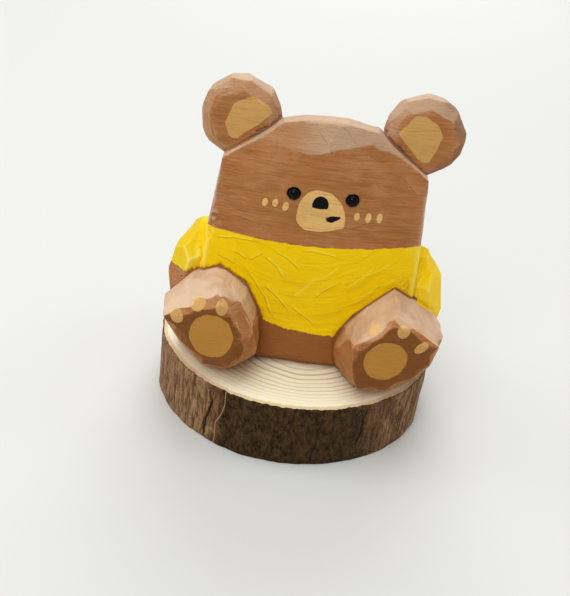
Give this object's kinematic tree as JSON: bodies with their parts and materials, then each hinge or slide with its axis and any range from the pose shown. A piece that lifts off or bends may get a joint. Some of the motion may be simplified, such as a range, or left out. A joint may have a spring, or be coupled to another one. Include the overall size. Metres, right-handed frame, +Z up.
{
  "type": "carved figurine",
  "caption": "Whittled and painted wooden bear in a yellow top, sitting upright with its legs forward on a round slice of log with the bark on.",
  "frame": {"origin": "middle of the slice's underside", "axes": "+Z up; the bear faces -Y, with +X to the viewer's right"},
  "size_m": [0.099, 0.0984, 0.1209],
  "materials": {
    "painted_wood": "matt acrylic paint on knife-cut limewood, brown with a yellow top",
    "eye_bead": "polished black bead",
    "log": "sawn and sanded pale end grain with rough dark bark round it"
  },
  "bodies": {
    "root": {"bear": "painted_wood", "eye_left": "eye_bead", "eye_right": "eye_bead", "wood_slice": "log"}
  },
  "joints": []
}
